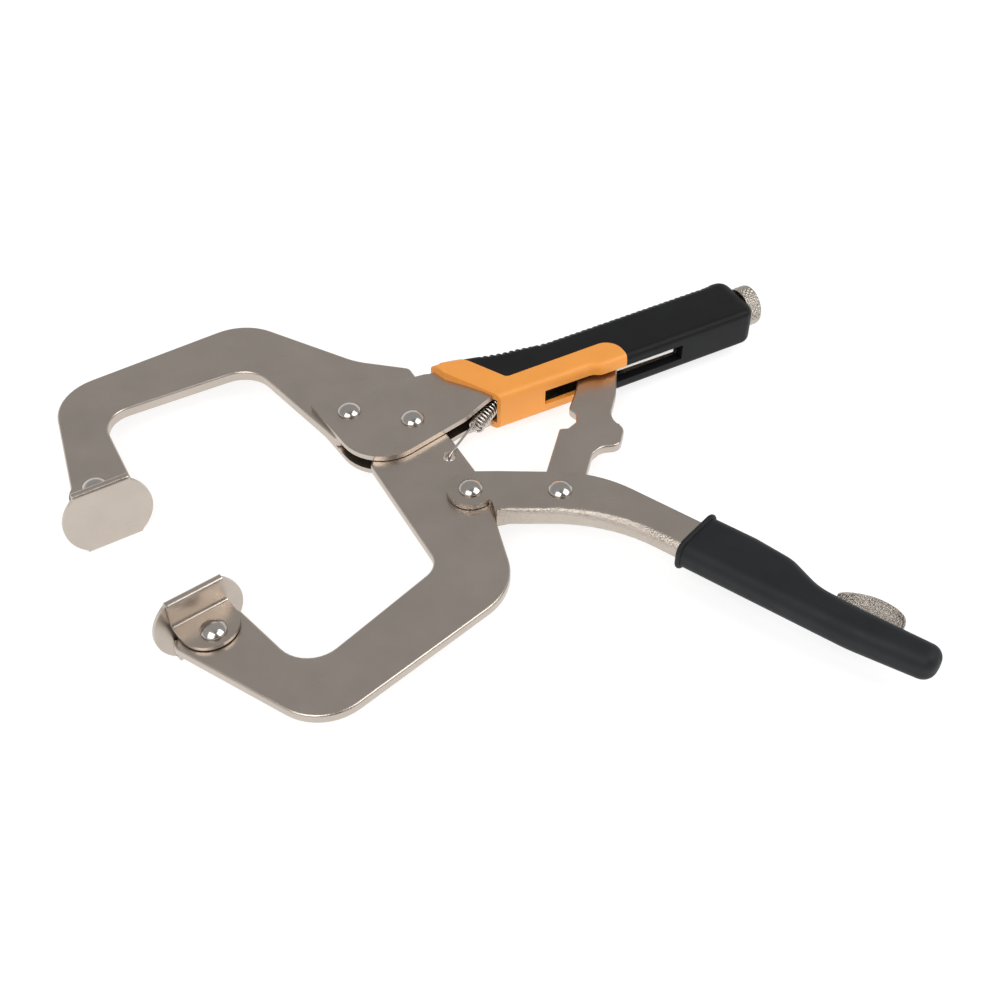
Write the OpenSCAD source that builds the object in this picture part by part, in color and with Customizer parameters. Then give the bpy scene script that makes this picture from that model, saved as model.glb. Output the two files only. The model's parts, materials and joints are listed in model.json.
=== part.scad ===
// Locking C-clamp pliers with swivel pads, lying on their side: +X runs along the fixed handle to the
// adjusting knob, +Y points away from the moving handle, +Z is the pivot direction. Millimetres.
// The outlines are drawn about the jaw pivot at mid thickness, then the whole is shifted so that the
// origin is the centre of the footprint, on the plane that the tool lies on.

/* [Jaws] */
// How far the swivel pads stand ahead of the jaw pivot
pad_reach = 110; // [80:1:160]
// Height of the fixed jaw's back above the jaw pivot
jaw_top = 83.5; // [60:0.5:120]
// Width of the fixed jaw's long arm
arm_w = 27; // [18:0.5:36]
// Thickness of the jaw and link plates
jaw_t = 3.8; // [2.5:0.1:8]
// Width of the fixed jaw's tip
tip_w = 22; // [16:0.5:30]
// Depth of the moving jaw below the jaw pivot
jaw_drop = 106.4; // [80:1:140]
// Height of the fixed pad's rivet above the jaw pivot
fixed_pad_up = 20.8; // [10:0.5:40]
// Depth of the moving pad's rivet below the jaw pivot, jaws open
moving_pad_down = 57.7; // [40:0.1:80]
// How far the moving pad's rivet sits behind the fixed one along X, jaws open
moving_pad_back = 14; // [0:0.5:30]
// Radius of the moving jaw's head about its pivot
head_r = 12; // [8:0.5:16]
// Width of the moving jaw's root
root_w = 31; // [20:0.5:40]

/* [Sheet steel] */
// Sheet thickness of both handle channels
sheet_t = 2; // [1.2:0.1:4]
// Play between a plate and the channel around it, each side
side_gap = 0.3; // [0.2:0.05:1]
// Half width inside the fixed handle around the adjusting screw
screw_room = 4.9; // [4.6:0.1:9]

/* [Pivots] */
// Shank diameter of the four large rivets
rivet_d = 6; // [4:0.1:9]
// Shank diameter of the two pad rivets
pad_rivet_d = 5; // [3:0.1:8]
// Diameter of a rivet's domed head
head_d = 8.4; // [6:0.1:14]
// Height of a rivet's domed head
head_h = 2.4; // [1:0.1:4]
// Radial running clearance of a pivot
run_fit = 0.05; // [0.01:0.01:0.2]
// Rivet between moving jaw and moving handle, from the jaw pivot
lever_pivot = [2, -41]; // [-100:1:100]
// Rivet between moving handle and toggle link
link_pivot = [28.5, -56]; // [-100:1:100]
// Where the toggle link's tip bears inside the fixed handle
link_tip = [80, 1.5]; // [0:1:200]
// Rivet that holds the fixed jaw in the channel
jaw_rivet = [-18.3, 14.6]; // [-40:0.1:40]

/* [Fixed handle] */
// Rear end of the fixed handle, from the jaw pivot
handle_end = 142.7; // [100:0.1:200]
// Front edge of the side plates, ahead of the jaw pivot
plate_front = 29.3; // [20:0.1:50]
// Back of the grip above the jaw pivot
grip_back = 13.5; // [9:0.1:25]
// Flat front face of the grip below the jaw pivot
grip_face = 10.8; // [8:0.1:20]
// Half thickness of the grip
grip_half = 8.2; // [8:0.1:12]
// Half width of the slot that the toggle link passes through
slot_half = 3.3; // [2.4:0.1:5]
// Spacing of the ribs on the back of the grip
rib_pitch = 2.5; // [1.5:0.1:6]

/* [Adjusting screw] */
// Major diameter of the screw
screw_d = 8; // [5:0.1:9]
// Pitch of the screw
screw_pitch = 1.25; // [0.5:0.05:2]
// Diameter of the knurled knob
knob_d = 16; // [10:0.1:24]
// Length of the knurled knob
knob_len = 6; // [4:0.1:20]

/* [Moving handle] */
// Depth of the channel at its front
lever_depth = 18.2; // [12:0.1:26]
// Depth of the channel at its tail
lever_tail_depth = 13.6; // [10:0.1:20]
// Length of the channel's tail
tail_len = 85.5; // [60:0.5:110]
// Radius of the channel's front end about its rivet
lever_eye = 8.2; // [7:0.1:12]
// Thickness of the rubber sleeve on the moving handle
sleeve_t = 1.5; // [1:0.1:4]
// Lean of the sleeve's mouth along the handle
mouth_lean = 2; // [0:0.1:5]
// Height of the channel's hump above the front edge of its tail
hump = 3.8; // [2:0.1:8]
// Rise of the channel's lower edge towards its end
tail_lift = 2.6; // [0:0.1:5]
// Half width of the release lever's paddle
paddle_half = 3.4; // [2:0.1:4]

/* [Pads and spring] */
// Diameter of a swivel pad
pad_d = 31; // [20:0.5:50]
// Sheet thickness of a swivel pad
pad_t = 1.3; // [0.8:0.1:2.5]
// Half height of a pad across its folded edges
pad_half = 13.5; // [9:0.1:24]
// Clamping face ahead of the pad's rivet
pad_lead = 11.5; // [9:0.1:20]
// Outer diameter of the jaw spring
spring_d = 5.4; // [3:0.1:8]
// Wire diameter of the jaw spring
wire_d = 0.9; // [0.5:0.05:1.6]

/* [Hidden] */
$fn = 96;
big = 600;
// Channel planes: inner and outer half widths at the jaws and around the screw
in_z = jaw_t / 2 + side_gap;
out_z = in_z + sheet_t;
rear_in = screw_room;
rear_out = rear_in + sheet_t;
fixed_t = 2 * in_z;
// Pad positions and tilts in the open pose
fixed_pad_at = [-pad_reach, fixed_pad_up];
moving_pad_at = [moving_pad_back - pad_reach, -moving_pad_down];
fixed_tilt = 3;
moving_tilt = 9;
pad_gap = side_gap;
// Back line of the fixed handle's sheet metal
web_rise = 8;
web_y = grip_back - 1.8;
flange_y = -7.2;
slot_from = 49;
slot_to = 109;
// Moving handle: front line, two bends, tail
front_dir = (link_pivot - lever_pivot) / norm(link_pivot - lever_pivot);
front_n = [-front_dir.y, front_dir.x];
tail_ang = -64;
tail_dir = [cos(tail_ang), sin(tail_ang)];
tail_n = [-tail_dir.y, tail_dir.x];
tail_top = [62, -92];
function in_tail(s, n) = tail_top + s * tail_dir + n * tail_n;
release_at = in_tail(17, -4);
// Spring line from the jaw hole to the anchor pin
spring_hole = [3.7, -21.5];
anchor_at = [44, 5.6];
spring_v = anchor_at - spring_hole;
spring_len = norm(spring_v);
spring_ang = atan2(spring_v.y, spring_v.x);
coil_from = 19.5;
coil_to = 40.5;
// Footprint limits that set the origin
min_x = -pad_reach - pad_lead * sin(-fixed_tilt) - pad_d / 2 * cos(fixed_tilt);
knob_end = handle_end + 0.6 + knob_len;
sleeve_low = -174.26;
shift = [-(min_x + knob_end) / 2, -(sleeve_low + jaw_top) / 2, pad_half];

function unit(v) = v / norm(v);
// Arc that rounds corner b of a polygon, coming from a and going to c
function arc(a, b, c, r, n = 10) =
    let (u = unit([a.x - b.x, a.y - b.y]), w = unit([c.x - b.x, c.y - b.y]),
         h = acos(max(-1, min(1, u * w))) / 2, m = unit(u + w), o = [b.x, b.y] + m * r / sin(h),
         p = [b.x, b.y] + u * r / tan(h), q = [b.x, b.y] + w * r / tan(h),
         s = atan2(p.y - o.y, p.x - o.x), e = atan2(q.y - o.y, q.x - o.x) - s,
         t = e > 180 ? e - 360 : e < -180 ? e + 360 : e)
    [for (k = [0:n]) o + r * [cos(s + t * k / n), sin(s + t * k / n)]];
// Outline from corners [x, y, radius]
function rounded(p) =
    let (n = len(p))
    [for (i = [0:n - 1]) each p[i].z > 0
        ? arc(p[(i + n - 1) % n], p[i], p[(i + 1) % n], p[i].z) : [[p[i].x, p[i].y]]];
function corner(v, r) = [v.x, v.y, r];

// A slab of a 2D outline between two heights
module slab(z0, z1) {
    translate([0, 0, z0]) linear_extrude(z1 - z0) children();
}
// The same slab on both sides of mid thickness
module both(z0, z1) {
    slab(z0, z1) children();
    slab(-z1, -z0) children();
}
module at(v) {
    translate([v.x, v.y, 0]) children();
}
module bore(v, r) {
    at(v) cylinder(r = r, h = 100, center = true);
}
// Domed head standing on height z, above and below
module domes(z) {
    cap_r = (head_d * head_d / 4 + head_h * head_h) / (2 * head_h);
    for (s = [0, 1]) mirror([0, 0, s]) translate([0, 0, z]) intersection() {
        cylinder(d = head_d, h = head_h);
        translate([0, 0, head_h - cap_r]) sphere(r = cap_r);
    }
}
module rivet(v, d, z) {
    at(v) {
        cylinder(d = d, h = 2 * z, center = true);
        domes(z);
    }
}

// Fixed C jaw, a flat plate clamped between the side plates
module fixed_jaw() {
    x0 = fixed_pad_at.x;
    inner = jaw_top - arm_w;
    outline = rounded([
        [x0 + tip_w / 2 + 1.5, fixed_pad_at.y - 5.5, 3], [x0 + tip_w / 2 + 1.5, inner, 10],
        [-plate_front - 10, inner + 0.5, 12], [-plate_front + 2, 3.5, 3], [-6, 14, 4],
        [12.3, 14, 2], [12.3, 28.3, 3], [-3.7, 41.6, 30], [-31.9, jaw_top + 0.4, 20],
        [x0 + 0.5, jaw_top - 6.4, 19], [x0 - tip_w / 2 + 2, fixed_pad_at.y - 5.5, 3]]);
    color("silver") difference() {
        slab(-fixed_t / 2, fixed_t / 2) polygon(outline);
        bore(jaw_rivet, rivet_d / 2);
        bore(fixed_pad_at, pad_rivet_d / 2);
    }
}

// Moving C jaw, swings on the jaw pivot between the side plates
module moving_jaw() {
    p = moving_pad_at;
    u = [cos(moving_tilt), sin(moving_tilt)];
    tip = p + 5.5 * [-u.y, u.x];
    right = 8.6;
    left = right - root_w;
    outline = rounded([
        [left, -12.5, 1.5], [left, -65.1, 8], [left - 54.3, -jaw_drop + 22, 11.5],
        corner(tip + tip_w / 2 * u, 3), corner(tip - 0.62 * tip_w * u, 3),
        [p.x + 15.3, -jaw_drop, 18], [right - 12.9, -jaw_drop + 20.7, 22], [right, -37.5, 15],
        [right, 0, 0], [-10, 6.7, 0]]);
    color("silver") difference() {
        union() {
            slab(-jaw_t / 2, jaw_t / 2) polygon(outline);
            cylinder(r = head_r, h = jaw_t, center = true);
        }
        bore([0, 0], rivet_d / 2 + run_fit);
        bore(lever_pivot, rivet_d / 2 + run_fit);
        bore(moving_pad_at, pad_rivet_d / 2);
        bore(spring_hole, 2.3);
    }
}

// Side view of the fixed handle's channel
module body_side() {
    polygon(rounded([
        [-plate_front, 25, 1], [-plate_front + 4.3, -18, 16], [33, -4.7, 0], [37, flange_y, 0],
        [handle_end - 4, flange_y, 2], [handle_end - 1.5, -2, 2], [handle_end - 1.5, web_y, 3],
        [62, web_y + 0.2, 60], [42, web_y + 2.4, 40], [17, web_y + web_rise, 4]]));
}
// Top view of one wall, from a narrow front to a wide rear: inner edge at a, outer edge at b
module wall_plan(a, b, c, d) {
    rotate([90, 0, 0]) linear_extrude(big, center = true)
        polygon([[-big, a], [15, a], [29, c], [big, c], [big, d], [28.6, d], [14.6, b], [-big, b]]);
}
module body_walls() {
    intersection() {
        slab(-rear_out, rear_out) body_side();
        union() {
            wall_plan(in_z, out_z, rear_in, rear_out);
            mirror([0, 0, 1]) wall_plan(in_z, out_z, rear_in, rear_out);
        }
    }
}
// Everything inside the outer faces of the walls
module body_envelope() {
    intersection() {
        slab(-rear_out, rear_out) body_side();
        union() {
            wall_plan(-1, out_z, -1, rear_out);
            mirror([0, 0, 1]) wall_plan(-1, out_z, -1, rear_out);
        }
    }
}
// Pressed steel channel of the fixed handle: two walls and the web along its back
module body_channel() {
    color("silver") difference() {
        union() {
            body_walls();
            intersection() {
                body_envelope();
                slab(-rear_out, rear_out) intersection() {
                    difference() {
                        body_side();
                        translate([0, -sheet_t]) body_side();
                    }
                    translate([16.5, 0]) square([big, 60]);
                }
            }
        }
        bore([0, 0], rivet_d / 2);
        bore(jaw_rivet, rivet_d / 2);
        bore(anchor_at, 1.5);
    }
}

module fixed_jaw_rivet() {
    color("gainsboro") rivet(jaw_rivet, rivet_d, out_z);
}
module jaw_pivot_rivet() {
    color("gainsboro") rivet([0, 0], rivet_d, out_z);
}
module fixed_pad_rivet() {
    color("gainsboro") rivet(fixed_pad_at, pad_rivet_d, pad_top());
}
module moving_pad_rivet() {
    color("gainsboro") rivet(moving_pad_at, pad_rivet_d, pad_top());
}
module lever_rivet() {
    color("gainsboro") rivet(lever_pivot, rivet_d, out_z);
}
module toggle_rivet() {
    color("gainsboro") rivet(link_pivot, rivet_d, out_z);
}

// Height of a pad rivet's head: above the ear with a little play
function ear_in() = in_z + pad_gap;
function pad_top() = ear_in() + pad_t + 0.15;

// Swivel pad: round face with two folded edges whose tabs end in ears on the rivet.
// Local frame: rivet at the origin, face towards +Y.
module pad() {
    fold_y = pad_lead - pad_t;
    ear_w = 9.7;
    difference() {
        union() {
            intersection() {
                translate([0, pad_lead, 0]) rotate([90, 0, 0]) cylinder(d = pad_d, h = pad_t);
                cube([big, big, 2 * (pad_half - pad_t)], center = true);
            }
            for (s = [0, 1]) mirror([0, 0, s]) {
                translate([0, fold_y, pad_half - pad_t]) rotate([0, 90, 0])
                    cylinder(r = pad_t, h = 2 * ear_w, center = true);
                translate([-ear_w, fold_y - pad_t, ear_in()])
                    cube([2 * ear_w, pad_t, pad_half - pad_t - ear_in()]);
                translate([0, 0, ear_in()]) linear_extrude(pad_t) {
                    translate([-ear_w, 3.3]) square([2 * ear_w, fold_y - 3.3]);
                    translate([0, 3.3]) intersection() {
                        circle(r = ear_w);
                        translate([-ear_w, -ear_w]) square([2 * ear_w, ear_w + 0.5]);
                    }
                }
            }
        }
        cylinder(d = pad_rivet_d + 2 * run_fit, h = 100, center = true);
    }
}
module fixed_pad() {
    color("silver") at(fixed_pad_at) rotate(180 + fixed_tilt) pad();
}
module moving_pad() {
    color("silver") at(moving_pad_at) rotate(moving_tilt) pad();
}

// Crossing of the line through a along u with the line through b along w
function meet(a, u, b, w) =
    a + u * ((b.x - a.x) * w.y - (b.y - a.y) * w.x) / (u.x * w.y - u.y * w.x);
// Corners of the moving handle: its front edges meet its tail edges at two knees
front_up = 8.5;
front_low = front_up - lever_depth;
function front_at(s, n) = lever_pivot + s * front_dir + n * front_n;
top_knee = meet(front_at(0, front_up), front_dir, tail_top, tail_dir);
low_knee = meet(front_at(0, front_low), front_dir, in_tail(0, -lever_tail_depth), tail_dir);
low_knee_in = meet(front_at(0, front_low + sheet_t), front_dir,
                   in_tail(0, sheet_t - lever_tail_depth), tail_dir);
// Tail outline from its hump to its end, grown outwards by g
function tail_corners(g) = [
    corner(in_tail(18, hump + g), 12), corner(in_tail(32, hump - 1.4 + g), 15),
    corner(in_tail(44, -3.2 + g), 20), corner(in_tail(60, -3.8 + g), 30),
    corner(in_tail(tail_len + g, -3.6 + g), 2.9 + g),
    corner(in_tail(tail_len + g, tail_lift - lever_tail_depth - g), 3.3 + g),
    corner(in_tail(60, -lever_tail_depth - g), 60)];
module lever_side() {
    at(lever_pivot) circle(r = lever_eye);
    polygon(rounded(concat(
        [corner(front_at(0, lever_eye), 0), corner(front_at(9, front_up), 0), corner(top_knee, 45),
         corner(tail_top, 0), corner(in_tail(7, hump), 3)],
        tail_corners(0),
        [corner(low_knee, 60), corner(front_at(8.4, front_low), 1), corner(front_at(7.4, -6), 1.5),
         corner(lever_pivot, 0)])));
}
// Sheet band along the lower edge, from the mouth at the front to the tail
module lever_web() {
    polygon(rounded([
        corner(front_at(9, front_low), 0), corner(low_knee, 60),
        corner(in_tail(60, -lever_tail_depth), 60),
        corner(in_tail(tail_len, tail_lift - lever_tail_depth), 3.3), corner(in_tail(tail_len, -6), 0),
        corner(in_tail(tail_len - sheet_t, -6), 0),
        corner(in_tail(tail_len - sheet_t, sheet_t + tail_lift - lever_tail_depth), 1.5),
        corner(in_tail(60, sheet_t - lever_tail_depth), 60), corner(low_knee_in, 60 + sheet_t),
        corner(front_at(9, front_low + sheet_t), 0)]));
}
// Pressed steel channel of the moving handle
module lever_channel() {
    color("silver") difference() {
        union() {
            both(in_z, out_z) lever_side();
            intersection() {
                slab(-out_z, out_z) lever_web();
                slab(-out_z, out_z) lever_side();
            }
        }
        bore(lever_pivot, rivet_d / 2);
        bore(link_pivot, rivet_d / 2);
        bore(release_at, 1.5);
    }
}
// Rubber sleeve over the tail, with a rolled lip at its mouth and a slot for the release lever
module lever_sleeve() {
    half = out_z + sleeve_t;
    lip = 0.8;
    color("dimgray") difference() {
        union() {
            slab(-half, half) polygon(rounded(concat(
                [corner(in_tail(1.5, hump + sleeve_t), 0)], tail_corners(sleeve_t),
                [corner(in_tail(1.5 - mouth_lean, -lever_tail_depth - sleeve_t), 0)])));
            slab(-half - lip, half + lip) polygon(rounded([
                corner(in_tail(0.7 - mouth_lean, -lever_tail_depth - sleeve_t - lip), 0.7),
                corner(in_tail(2.7 - mouth_lean, -lever_tail_depth - sleeve_t - lip), 0.7),
                corner(in_tail(2.7, hump + sleeve_t + lip), 0.7),
                corner(in_tail(0.7, hump + sleeve_t + lip), 0.7)]));
        }
        slab(-out_z, out_z) polygon(rounded(concat([corner(in_tail(-3, hump), 0)], tail_corners(0),
            [corner(in_tail(-3, -lever_tail_depth), 0)])));
        slab(-paddle_half - side_gap, paddle_half + side_gap)
            polygon([in_tail(45, -9), in_tail(45, 12), in_tail(75, 12), in_tail(75, -9)]);
    }
}
// Release lever inside the moving handle, its paddle standing out of the channel
module release_side() {
    polygon(rounded([
        corner(in_tail(-12, -7.2), 1.5), corner(in_tail(8, -1.5), 20), corner(in_tail(22, 1), 8),
        corner(in_tail(38, -5), 12), corner(in_tail(47, -3), 12), corner(in_tail(58, 4.2), 12),
        corner(in_tail(69, 4.6), 6), corner(in_tail(73, 0.4), 0.3), corner(in_tail(71, 0.4), 0.5),
        corner(in_tail(67, 2.2), 4), corner(in_tail(58, 1.4), 12), corner(in_tail(48, -7), 12),
        corner(in_tail(36, -10), 15), corner(in_tail(15, -9.5), 20),
        corner(in_tail(-12, -10.2), 1.5)]));
}
module release_lever() {
    color("silver") difference() {
        union() {
            slab(-jaw_t / 2, jaw_t / 2) release_side();
            slab(-paddle_half, paddle_half) polygon(rounded([
                corner(in_tail(49.5, 0.3), 0), corner(in_tail(58.2, 4), 11), corner(in_tail(68.8, 4.4), 6),
                corner(in_tail(72.4, 0.6), 0.2), corner(in_tail(71.2, 0.6), 0.3),
                corner(in_tail(67, 2.4), 4), corner(in_tail(58.4, 1.8), 10)]));
        }
        bore(release_at, 1.5 + run_fit);
    }
}
module release_pin() {
    color("gainsboro") at(release_at) cylinder(r = 1.5, h = 2 * out_z, center = true);
}

// Toggle link between moving handle and adjusting screw
module toggle_link() {
    u = unit(link_tip - link_pivot);
    n = [-u.y, u.x];
    tip_r = 6.5;
    o = link_pivot;
    eye = 7;
    pts = rounded([
        corner(o + eye * n, 0), corner(o + 32.5 * u + 6.9 * n, 1), corner(o + 33.5 * u + 4 * n, 1),
        corner(o + 37.5 * u + 1.8 * n, 2), corner(o + 41.5 * u + 2.6 * n, 2),
        corner(o + 43.6 * u + 5.8 * n, 2.5), corner(o + 52 * u + 5.4 * n, 20),
        corner(link_tip + tip_r * n, 0), corner(link_tip - tip_r * n, 0),
        corner(o + 55 * u - 9.6 * n, 12), corner(o + 42 * u - 9.6 * n, 8),
        corner(o + 38.5 * u - 15.8 * n, 4.5), corner(o + 29 * u - 15.8 * n, 4),
        corner(o + 26.5 * u - 9.5 * n, 5), corner(o + 22 * u - eye * n, 4),
        corner(o - eye * n, 0)]);
    color("silver") difference() {
        union() {
            slab(-jaw_t / 2, jaw_t / 2) polygon(pts);
            at(o) cylinder(r = eye, h = jaw_t, center = true);
            at(link_tip) cylinder(r = tip_r, h = jaw_t, center = true);
        }
        bore(o, rivet_d / 2 + run_fit);
    }
}

// Adjusting screw: threaded rod along the handle, ridges at the screw pitch
module along_x(x, y) {
    translate([x, y, 0]) rotate([0, 90, 0]) children();
}
module adjusting_screw() {
    from = link_tip.x + 6.5 + 1.4;
    core = screw_d / 2 - 0.6 * screw_pitch;
    turns = floor((handle_end - 17 - from - 2) / screw_pitch);
    color("lightgray") along_x(from, link_tip.y) {
        rotate_extrude() polygon(concat([[0, 0], [core - 0.5, 0]],
            [for (k = [0:turns - 1]) each [[core, 1 + k * screw_pitch],
                [screw_d / 2, 1 + (k + 0.5) * screw_pitch]]],
            [[core, 1 + turns * screw_pitch], [screw_d / 2, 2 + turns * screw_pitch],
             [screw_d / 2, handle_end - from + 2.6], [0, handle_end - from + 2.6]]));
    }
}
// Threaded bush crimped into the rear end of the channel
module screw_nut() {
    color("lightgray") difference() {
        translate([handle_end - 15, flange_y + 3, -rear_in])
            cube([11, web_y - sheet_t - flange_y - 3, 2 * rear_in]);
        along_x(handle_end - 20, link_tip.y) cylinder(r = screw_d / 2 + run_fit, h = 30);
    }
}
// Knurled knob on the end of the screw
module screw_knob() {
    flutes = 24;
    color("lightgray") along_x(handle_end + 0.6, link_tip.y) difference() {
        rotate_extrude() polygon([[screw_d / 2 + run_fit, 0], [knob_d / 2 - 0.8, 0],
            [knob_d / 2, 0.8], [knob_d / 2, knob_len - 0.8], [knob_d / 2 - 0.8, knob_len],
            [0, knob_len], [0, 2.2], [screw_d / 2 + run_fit, 2.2]]);
        for (k = [0:flutes - 1]) rotate(k * 360 / flutes) translate([knob_d / 2 + 0.15, 0, -1])
            rotate(45) cylinder(r = 0.7, h = knob_len + 2, $fn = 4);
    }
}

// Moulded grip around the channel before it is split into black and orange parts
module grip_side() {
    polygon(rounded([
        [17.2, grip_back + 9, 3.5], [19, 13, 6], [31.3, -8.4, 0.6], [69.5, 1.8 - grip_face, 3],
        [72.5, -grip_face, 3], [handle_end - 5, -grip_face, 3], [handle_end, -4, 5],
        [handle_end, grip_back, 2.5], [64, grip_back + 0.2, 60], [44, grip_back + 2.4, 40]]));
}
// Round-backed cross-section swept along the handle, at an angle about [x, y]
module grip_sweep(x, y, ang, r) {
    translate([x, y, 0]) rotate(ang) rotate([90, 0, 90]) linear_extrude(big, center = true)
        polygon(rounded([[0, grip_half, r], [0, -grip_half, r], [-80, -grip_half, 0],
                         [-80, grip_half, 0]]));
}
module grip_body() {
    intersection() {
        slab(-grip_half, grip_half) grip_side();
        union() {
            grip_sweep(64, grip_back, 0, 4);
            intersection() {
                grip_sweep(17.2, grip_back + 8.6, -11, 4);
                slab(-grip_half, grip_half) translate([0, -40]) square([58, 100]);
            }
        }
        rotate([90, 0, 90]) linear_extrude(big, center = true)
            polygon([[-grip_face, 4.6], [-grip_face + 3.4, grip_half], [60, grip_half],
                     [60, -grip_half], [-grip_face + 3.4, -grip_half], [-grip_face, -4.6]]);
    }
}
module grip_hollow() {
    body_envelope();
    slab(-rear_in, rear_in) translate([16, flange_y - 0.01]) square([200, web_y - flange_y - 4]);
    slab(-slot_half, slot_half) translate([slot_from, -40]) square([slot_to - slot_from, 42]);
    slab(-slot_half, slot_half) translate([0, -40]) square([36, 44]);
}
// Orange part: front collar and the stripe along each side
module collar_side() {
    polygon(rounded([
        [0, 60, 0], [26, 21.5, 0], [30.5, 14.5, 15], [38, 0.4, 2], [84, 0.4, 6.5],
        [84, -grip_face + 1.5, 6.5], [79, -40, 0], [0, -40, 0]]));
}
module handle_grip() {
    ribs = floor((handle_end - 44) / rib_pitch);
    color("dimgray") difference() {
        grip_body();
        grip_hollow();
        slab(-big, big) collar_side();
        for (k = [0:ribs]) translate([40 + k * rib_pitch, grip_back + 0.32 +
            max(0, (62 - 40 - k * rib_pitch)) * 0.11, 0])
            cylinder(r = 0.75, h = 2 * grip_half - 4, center = true, $fn = 8);
    }
}
module handle_collar() {
    color("orange") difference() {
        intersection() {
            grip_body();
            slab(-big, big) collar_side();
        }
        grip_hollow();
    }
}

// Extension spring: close coils between two straight wires, hooked to the moving jaw
module jaw_spring() {
    hook_r = 2.9;
    mean = (spring_d - wire_d) / 2;
    coils = floor((coil_to - coil_from) / wire_d);
    color("silver") translate([spring_hole.x, spring_hole.y, 0]) rotate(spring_ang) {
        along_x(coil_from, 0) rotate_extrude() difference() {
            union() {
                translate([mean - wire_d * 0.4, 0]) square([wire_d * 0.8, coils * wire_d]);
                for (k = [0:coils]) translate([mean, k * wire_d]) circle(d = wire_d * 1.08, $fn = 24);
            }
        }
        translate([hook_r, 0, 0]) rotate([90, 0, 0]) rotate(90) rotate_extrude(angle = 180)
            translate([hook_r, 0]) circle(d = wire_d, $fn = 24);
        translate([hook_r - 0.3, 0, hook_r]) rotate([0, 90 + 2, 0])
            cylinder(d = wire_d, h = coil_from - 2);
        translate([coil_to - 1.5, 0, mean - 0.1]) rotate([0, 90 + 45, 0])
            cylinder(d = wire_d, h = 3.1);
        translate([coil_to + 0.4, 0, 0]) rotate([0, 90, 0])
            cylinder(d = wire_d, h = spring_len - 2 - coil_to - 0.4);
        translate([spring_len, 0, 0]) rotate_extrude() translate([1.6 + wire_d / 2, 0])
            circle(d = wire_d, $fn = 24);
    }
}
// Pin across the fixed handle that holds the rear end of the spring
module spring_anchor() {
    color("gainsboro") at(anchor_at) cylinder(r = 1.5, h = 2 * rear_out, center = true);
}

translate(shift) {
    fixed_jaw();
    moving_jaw();
    body_channel();
    fixed_jaw_rivet();
    jaw_pivot_rivet();
    fixed_pad();
    moving_pad();
    fixed_pad_rivet();
    moving_pad_rivet();
    lever_channel();
    lever_rivet();
    toggle_link();
    toggle_rivet();
    lever_sleeve();
    release_lever();
    release_pin();
    adjusting_screw();
    screw_knob();
    screw_nut();
    handle_grip();
    handle_collar();
    jaw_spring();
    spring_anchor();
}
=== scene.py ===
import json
import math
import bmesh
import bpy
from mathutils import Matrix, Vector


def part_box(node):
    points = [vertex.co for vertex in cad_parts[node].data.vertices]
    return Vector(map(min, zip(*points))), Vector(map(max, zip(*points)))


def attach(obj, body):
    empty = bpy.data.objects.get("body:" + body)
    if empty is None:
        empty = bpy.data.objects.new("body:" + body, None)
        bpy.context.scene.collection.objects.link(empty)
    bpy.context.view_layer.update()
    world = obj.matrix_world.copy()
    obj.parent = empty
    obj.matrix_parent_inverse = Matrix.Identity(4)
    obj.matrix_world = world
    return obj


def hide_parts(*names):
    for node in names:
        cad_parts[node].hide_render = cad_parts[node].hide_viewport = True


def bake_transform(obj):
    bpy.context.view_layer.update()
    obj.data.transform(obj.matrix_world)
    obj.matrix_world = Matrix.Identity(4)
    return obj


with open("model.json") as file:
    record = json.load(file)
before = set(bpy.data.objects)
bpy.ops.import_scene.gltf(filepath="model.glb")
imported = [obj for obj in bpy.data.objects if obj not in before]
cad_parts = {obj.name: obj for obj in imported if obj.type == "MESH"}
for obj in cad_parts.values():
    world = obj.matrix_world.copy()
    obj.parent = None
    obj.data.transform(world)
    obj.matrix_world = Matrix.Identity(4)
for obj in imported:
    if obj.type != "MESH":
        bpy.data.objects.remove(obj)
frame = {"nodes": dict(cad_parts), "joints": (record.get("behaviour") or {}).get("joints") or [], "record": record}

NODES = frame["nodes"]
JOINT = {j["name"]: j for j in frame["joints"]}
MM = 0.001
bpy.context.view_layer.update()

# Origin of the tool: the jaw pivot at mid thickness
PIVOT = Vector(JOINT["jaw_pivot"]["pos_m"])
FIXED_PAD = Vector(JOINT["fixed_pad_swivel"]["pos_m"])
MOVING_PAD = Vector(JOINT["moving_pad_swivel"]["pos_m"])
MID_Z = PIVOT.z

# Sizes of the drawn details, in millimetres
SHEET = 2.0
PAD_SHEET = 1.3
RIB_PITCH, RIB_DEPTH = 2.5, 0.9
THREAD_PITCH, THREAD_DEPTH = 1.25, 0.72
KNURLS_ROUND, KNURL_STEP, KNURL_DEPTH = 26, 1.95, 0.5
COIL_DIAMETER, COIL_WIRE, COIL_TURNS = 6.0, 0.95, 12


def tool(x, y, z=0.0):
    """Point of the frame from millimetres about the jaw pivot."""
    return PIVOT + Vector((x, y, z)) * MM


# ---------------------------------------------------------------- materials

def nodes_of(mat):
    mat.use_nodes = True
    tree = mat.node_tree
    tree.nodes.clear()
    out = tree.nodes.new("ShaderNodeOutputMaterial")
    shader = tree.nodes.new("ShaderNodeBsdfPrincipled")
    tree.links.new(shader.outputs[0], out.inputs[0])
    coord = tree.nodes.new("ShaderNodeTexCoord")
    return tree, shader, coord.outputs["Object"]


def noise(tree, coord, scale, detail, rough):
    n = tree.nodes.new("ShaderNodeTexNoise")
    n.inputs["Scale"].default_value = scale
    n.inputs["Detail"].default_value = detail
    n.inputs["Roughness"].default_value = rough
    tree.links.new(coord, n.inputs["Vector"])
    return n.outputs["Fac"]


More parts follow.
